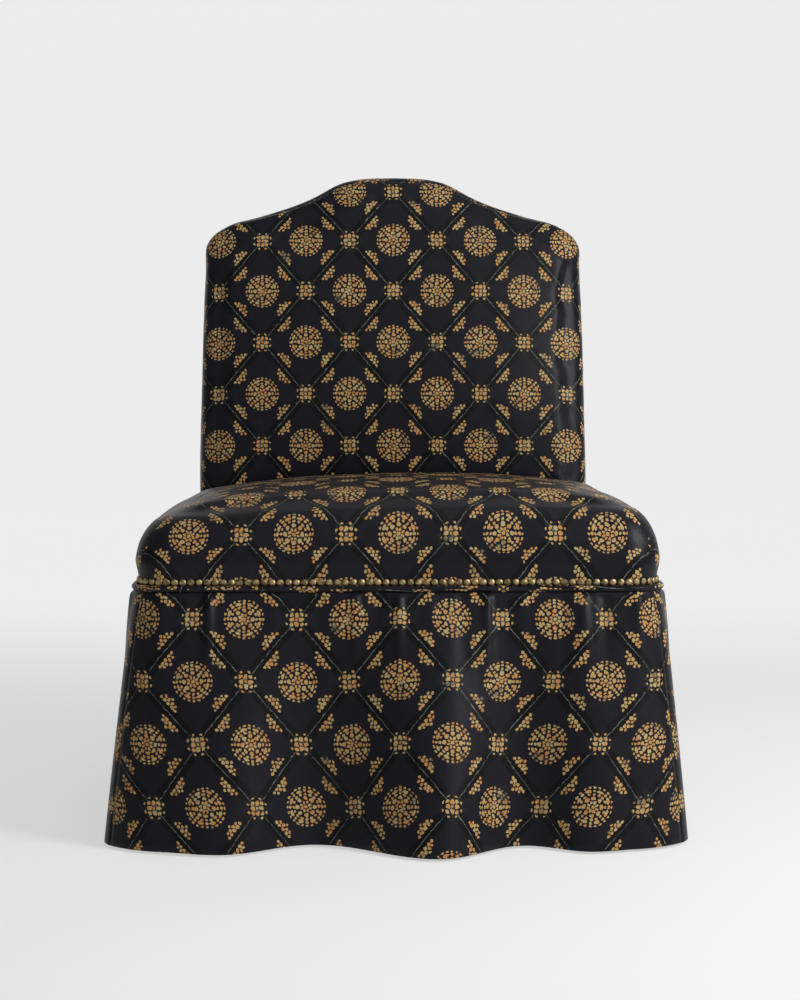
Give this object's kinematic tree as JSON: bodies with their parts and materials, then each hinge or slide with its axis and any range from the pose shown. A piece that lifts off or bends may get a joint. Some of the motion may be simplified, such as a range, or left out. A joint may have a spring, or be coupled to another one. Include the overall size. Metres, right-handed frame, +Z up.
{
  "type": "slipper chair",
  "caption": "Armless upholstered slipper chair with a camel back, a tight crowned seat, nail head trim over piping and a gathered skirt to the floor.",
  "frame": {"origin": "on the floor, under the middle of the chair's overall box", "axes": "+Z up, -Y towards the front of the seat, +X to the right of someone who looks at the front"},
  "size_m": [0.765, 0.7828, 0.8955],
  "materials": {
    "printed_cloth": "woven cotton with a slight sheen, printed in ochre and sage on near black",
    "antique_brass": "antiqued, worn bright on the domes",
    "frame_wood": "unfinished beech",
    "glide_nylon": "moulded nylon",
    "spring_steel": "drawn wire, oiled",
    "hessian": "open jute weave",
    "webbing": "woven jute webbing",
    "foam": "upholstery foam with a wadding wrap",
    "dust_cloth": "black cambric"
  },
  "bodies": {
    "root": {"front_seat_rail": "frame_wood", "rear_seat_rail": "frame_wood", "left_seat_rail": "frame_wood", "right_seat_rail": "frame_wood", "front_left_leg": "frame_wood", "front_right_leg": "frame_wood", "rear_left_leg": "frame_wood", "rear_right_leg": "frame_wood", "front_left_corner_block": "frame_wood", "front_right_corner_block": "frame_wood", "left_back_post": "frame_wood", "right_back_post": "frame_wood", "back_tie_rail": "frame_wood", "crest_rail": "frame_wood", "front_left_glide": "glide_nylon", "front_right_glide": "glide_nylon", "rear_left_glide": "glide_nylon", "rear_right_glide": "glide_nylon", "seat_spring_1": "spring_steel", "seat_spring_2": "spring_steel", "seat_spring_3": "spring_steel", "seat_spring_4": "spring_steel", "seat_spring_5": "spring_steel", "front_spring_clip_1": "spring_steel", "front_spring_clip_2": "spring_steel", "front_spring_clip_3": "spring_steel", "front_spring_clip_4": "spring_steel", "front_spring_clip_5": "spring_steel", "rear_spring_clip_1": "spring_steel", "rear_spring_clip_2": "spring_steel", "rear_spring_clip_3": "spring_steel", "rear_spring_clip_4": "spring_steel", "rear_spring_clip_5": "spring_steel", "seat_hessian": "hessian", "seat_foam": "foam", "seat_cover": "printed_cloth", "back_web_row_1": "webbing", "back_web_row_2": "webbing", "back_web_row_3": "webbing", "back_web_column_1": "webbing", "back_web_column_2": "webbing", "back_web_column_3": "webbing", "back_hessian": "hessian", "back_foam": "foam", "inside_back_cover": "printed_cloth", "outside_back_panel": "printed_cloth", "dust_cover": "dust_cloth", "piping_cord": "printed_cloth", "front_nail_strip": "antique_brass", "right_nail_strip": "antique_brass", "back_nail_strip": "antique_brass", "left_nail_strip": "antique_brass", "front_skirt": "printed_cloth", "right_skirt": "printed_cloth", "back_skirt": "printed_cloth", "left_skirt": "printed_cloth"}
  },
  "joints": []
}
